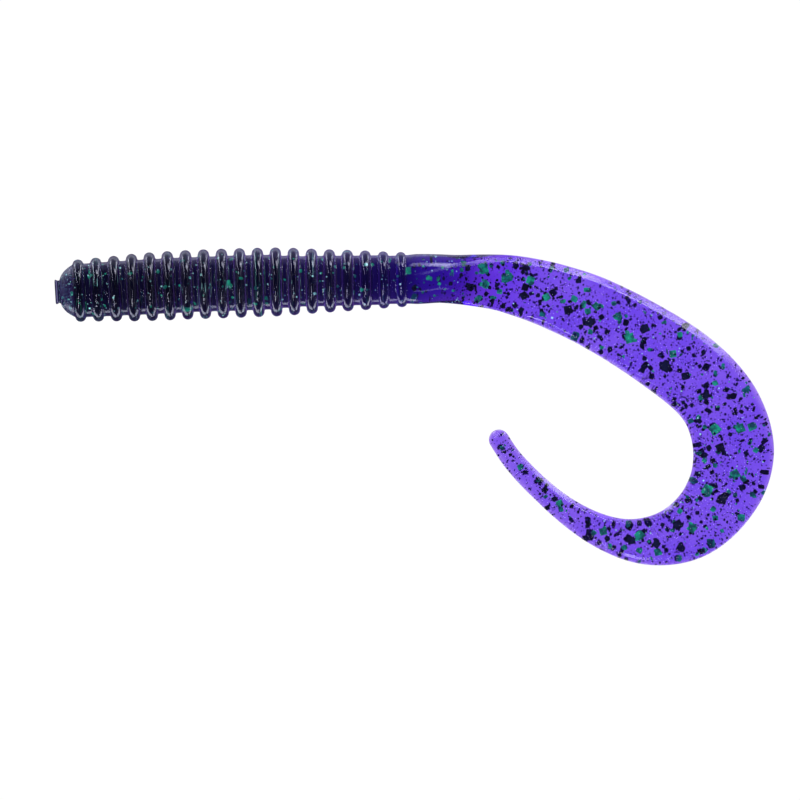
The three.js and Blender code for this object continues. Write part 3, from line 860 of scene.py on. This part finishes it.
# ------------------------------------------------------------------ pieces
def mesh_object(name, verts, faces, materials, indices=None, smooth=False):
    mesh = bpy.data.meshes.new(name)
    mesh.from_pydata([tuple(v) for v in verts], [], faces)
    for material in materials:
        mesh.materials.append(material)
    if indices is not None:
        mesh.polygons.foreach_set("material_index", indices)
    if smooth:
        mesh.polygons.foreach_set("use_smooth", [True] * len(mesh.polygons))
    mesh.update()
    made = bpy.data.objects.new(name, mesh)
    bpy.context.scene.collection.objects.link(made)
    return made


def store(mesh, name, values):
    """Keep a number or a vector at every point of a mesh."""
    values = np.asarray(values, np.float32)
    kind, key = ("FLOAT_VECTOR", "vector") if values.ndim == 2 else ("FLOAT", "value")
    mesh.attributes.new(name, kind, "POINT").data.foreach_set(key, values.ravel())


def add_skin_uv(mesh, rows):
    """U runs round the skin and V along it, with a small margin."""
    corner = np.zeros(len(mesh.loops), np.int32)
    mesh.loops.foreach_get("vertex_index", corner)
    totals = np.zeros(len(mesh.polygons), np.int32)
    mesh.polygons.foreach_get("loop_total", totals)
    on_grid = corner < (rows + 1) * AROUND
    u = np.where(on_grid, corner % AROUND, 0) / AROUND
    v = np.where(on_grid, corner // AROUND, rows / 2) / max(rows, 1)
    # faces that close the ring end at 1, not back at 0
    face = np.repeat(np.arange(len(mesh.polygons)), totals)
    widest = np.zeros(len(mesh.polygons))
    np.maximum.at(widest, face, u)
    u = np.where((u == 0) & (widest[face] > 0.5), 1.0, u)
    uvs = np.stack([0.02 + 0.96 * u, 0.02 + 0.96 * v], -1)
    mesh.uv_layers.new(name="UVMap").data.foreach_set("uv", uvs.astype(np.float32).ravel())


def skin_piece(index, first, last):
    """The skin between two stations, closed by a fan at the nose or the tip."""
    name = "skin_%02d" % index
    part = slice(first, last + 1)
    rows = last - first
    verts = GRID[part].reshape(-1, 3) * MM
    normals = NORMALS[part].reshape(-1, 3)
    sigma = GEL_SIGMA[part].reshape(-1, 3)
    values = {key: value[part].reshape(-1) for key, value in GEL_VALUES.items()}
    steps = [(k, (k + 1) % AROUND) for k in range(AROUND)]
    faces = []
    for base in range(0, rows * AROUND, AROUND):
        after = base + AROUND
        faces += [(base + k2, after + k2, after + k, base + k) for k, k2 in steps]
    if first == 0 or last == LAST:
        middle = len(verts)
        if first == 0:
            end, point, normal, thick = 0, [0.0, 0.0, 0.0], [-1.0, 0, 0], 2.0
            faces += [(k2, k, middle) for k, k2 in steps]
        else:
            end, point, thick = -1, GRID[-1].mean(0) * MM, 0.5
            normal = [HEADING[-1, 0], HEADING[-1, 1], 0]
            base = rows * AROUND
            faces += [(base + k, base + k2, middle) for k, k2 in steps]
        verts = np.vstack([verts, [point]])
        normals = np.vstack([normals, [normal]])
        sigma = np.vstack([sigma, [sigma[end]]])
        values = {key: np.append(value, value[end]) for key, value in values.items()}
        values["gel_mm"][-1] = thick
    skin = mesh_object(name, verts, faces, [GEL], smooth=True)
    for key, value in values.items():
        store(skin.data, key, value)
    store(skin.data, "gel_sigma", sigma)
    add_skin_uv(skin.data, rows)
    skin.data.normals_split_custom_set_from_vertices([tuple(n) for n in normals])
    skin["parts"] = [name]
    return skin


FOIL_HALF = {"green": 0.02, "dark": 0.02, "pepper": 0.015, "dust": 0.01, "sparkle": 0.012}
SMALL_KINDS = ("sparkle", "pepper", "dust")
# large flakes' foil, then small flakes' foil
FOILS = {"green": [GREEN, SPARK], "dark": [BLACK, PEPPER]}


def chip_rim(a, b, small):
    """A chip's outline: a clean oblong when small, otherwise with clipped, uneven corners."""
    signs = ((-1, -1), (1, -1), (1, 1), (-1, 1))
    if small:
        return [(x * a, y * b) for x, y in signs]
    rim = []
    for x, y in signs:
        clip = rng.uniform(0.08, 0.55)
        grow = rng.uniform(0.9, 1.12)
        rim.append((x * a * grow, y * b * grow * (1 - clip)))
        rim.append((x * a * grow * (1 - clip), y * b * grow))
    return sorted(rim, key=lambda corner: math.atan2(corner[1], corner[0]))


def flakes_piece(group, index, flakes):
    verts, faces, foils, sigma = [], [], [], []
    for flake in flakes:
        centre, ahead, aside, normal = flake_axes(flake)
        a, b = flake.length / 2, flake.width / 2
        half = FOIL_HALF[flake.kind]
        small = flake.kind in SMALL_KINDS
        chips = [(0.0, 0.0, 0.0, 1.0)]  # shift ahead, aside and up, then scale
        if not small and rng.uniform() < 0.5:  # half of the large flakes are clumps of chips
            chips = [
                (rng.uniform(-0.6, 0.6) * a, rng.uniform(-0.6, 0.6) * b,
                 rng.uniform(-0.05, 0.05), rng.uniform(0.4, 0.75))
                for _ in range(int(rng.integers(2, 5)))
            ]
        for du, dv, dz, scale in chips:
            base = len(verts)
            rim = chip_rim(a * scale, b * scale, small)
            m = len(rim)
            for z in (-half, half):
                for u, v in rim:
                    place = centre + ahead * (u + du) + aside * (v + dv) + normal * (z + dz)
                    verts.append(place * MM)
            faces.append(tuple(base + i for i in reversed(range(m))))
            faces.append(tuple(base + m + i for i in range(m)))
            for i in range(m):
                k = (i + 1) % m
                faces.append((base + i, base + k, base + m + k, base + m + i))
            foils += [int(small)] * (m + 2)
            sigma += [absorption_at(flake.along)] * (2 * m)
    made = mesh_object("flakes_%s_%02d" % (group, index), verts, faces, FOILS[group], foils)
    store(made.data, "gel_sigma", sigma)
    return made


def build_length(index, first, last):
    """One length of the worm: its skin, then its green and dark flakes."""
    skin = skin_piece(index, first, last)
    slots = {skin: "body_plastisol" if ALONG[last] < 57 else "tail_plastisol"}
    low, high = ALONG[first], ALONG[last] if last < LAST else np.inf
    here = [flake for flake in FLAKES if low <= flake.along < high]
    for group in ("green", "dark"):
        is_green = group == "green"
        chosen = [flake for flake in here if (flake.kind in ("green", "sparkle")) == is_green]
        if chosen:
            slots[flakes_piece(group, index, chosen)] = group + "_foil"
    for piece, slot in slots.items():
        if first == 0:
            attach(piece, CHAIN[0])
        elif last == LAST:
            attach(piece, CHAIN[-1])
        else:
            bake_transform(piece)
    return skin


EDGES = skin_edges()
skins = [build_length(i, a, b) for i, (a, b) in enumerate(zip(EDGES, EDGES[1:]))]

# the skin stands for the CAD sections; the CAD flakes stay and get their foil
for skin, name in zip(skins[1:], CHAIN):
    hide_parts(name)
for name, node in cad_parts.items():
    if "flake" in name:
        node.data.materials.clear()
        node.data.materials.append(GREEN if name.startswith("green") else BLACK)


# ------------------------------------------------------------------ floor, light and camera
def build_floor():
    """A pale sheet well below the worm, which leaves it room to bend down."""
    half = 6.0
    z = -110.0 * MM
    corners = [(-half, -half, z), (half, -half, z), (half, half, z), (-half, half, z)]
    floor = mesh_object("floor", corners, [(0, 1, 2, 3)], [floor_material()])
    floor.visible_glossy = False  # reflections see the studio below the horizon instead


def build_world(scene):
    """Light panels for reflections and refraction; plain white for camera and diffuse rays."""
    world = bpy.data.worlds.new("studio")
    scene.world = world
    graph = Graph(world)
    direction = graph.node("ShaderNodeTexCoord").outputs["Generated"]
    x, y, z = graph.node("ShaderNodeSeparateXYZ", {0: direction}).outputs

    def degrees(operation, *values):
        return graph.math("MULTIPLY", graph.math(operation, *values), 180 / math.pi)

    # azimuths towards +X, from +Y (behind) and from -Y (front)
    behind = degrees("ARCTAN2", x, y)
    front = degrees("ARCTAN2", x, graph.math("MULTIPLY", y, -1.0))
    elevation = degrees("ARCSINE", z)

    def edge(value, start, end):
        return graph.map_range(value, source=(start, end), interpolation_type="SMOOTHSTEP")

    def band(value, low, high, soft):
        rise, fall = edge(value, low - soft, low + soft), edge(value, high + soft, high - soft)
        return graph.math("MULTIPLY", rise, fall)

    def panel(azimuth, turn, up, power, soft=3, soft_up=6.0):
        """A soft-edged panel between two azimuths (turn) and two elevations (up)."""
        return graph.product(
            graph.product(band(azimuth, *turn, soft), band(elevation, *up, soft_up)), power
        )

    lights = [
        # tall strips behind, left and right; the right one is dimmer above
        panel(behind, turn=(-40, -28), up=(-38, 62), power=4.5),
        panel(behind, turn=(35, 47), up=(-38, 30), power=4.5),
        panel(behind, turn=(35, 47), up=(30, 62), power=1.1),
        # low panels behind, to the right
        panel(behind, turn=(4, 38), up=(11, 27), power=3.6),
        panel(behind, turn=(18, 36), up=(11, 25), power=5.5, soft=4),
        # a strip in front, a little to the left
        panel(front, turn=(-22, -9), up=(20, 78), power=8.5),
        # bounce from below in front, in two halves
        panel(front, turn=(-60, 3), up=(-34, -17), power=3.6, soft_up=4),
        panel(front, turn=(16, 60), up=(-34, -17), power=3.6, soft_up=4),
        # a thin panel in front, to the right
        panel(front, turn=(10, 42), up=(29, 34), power=1.6, soft=4, soft_up=2),
    ]
    # a pale table on the +Y side, brightest well below the horizon and dark straight underneath
    far_side = edge(y, -0.1, 0.35)
    deep = graph.product(edge(elevation, -74, -60), edge(elevation, -30, -44), 0.55)
    shallow = graph.product(edge(elevation, -60, -44), edge(elevation, 14, -8), 0.38)
    total = graph.math("MULTIPLY", graph.math("ADD", deep, shallow), far_side)
    total = graph.math("ADD", total, 0.035)
    for light in lights:
        total = graph.math("ADD", total, light)
    rays = graph.node("ShaderNodeLightPath").outputs
    plain = graph.math("MAXIMUM", rays["Is Camera Ray"], rays["Is Diffuse Ray"])
    background = graph.node("ShaderNodeBackground", {
        "Strength": graph.mix_float(plain, total, 1.0),
        "Color": graph.mix_color(plain, (0.88, 0.89, 1.08), (1.0, 1.0, 1.0)),
    })
    graph.node("ShaderNodeOutputWorld", {"Surface": background.outputs[0]})
    world.cycles.sampling_method = "NONE"


def build_camera(scene):
    """Straight above the worm, in metres."""
    height = 1.3
    view_width = 0.112  # seen at z = 0
    camera = bpy.data.cameras.new("camera")
    camera.sensor_width = 36.0
    camera.lens = camera.sensor_width * height / view_width
    camera.clip_start, camera.clip_end = 0.05, 50
    holder = bpy.data.objects.new("camera", camera)
    scene.collection.objects.link(holder)
    holder.location = (0.04771, -0.01676, height)
    holder.rotation_euler = (0, 0, -math.radians(1.964))
    scene.camera = holder


def set_render(scene):
    scene.view_settings.view_transform = "Standard"
    scene.view_settings.look = "None"
    scene.cycles.use_denoising = True
    scene.cycles.max_bounces = 16
    scene.cycles.transmission_bounces = 14
    scene.cycles.transparent_max_bounces = 24
    scene.cycles.caustics_refractive = True
    scene.cycles.sample_clamp_indirect = 6.0


build_floor()
build_world(bpy.context.scene)
build_camera(bpy.context.scene)
set_render(bpy.context.scene)
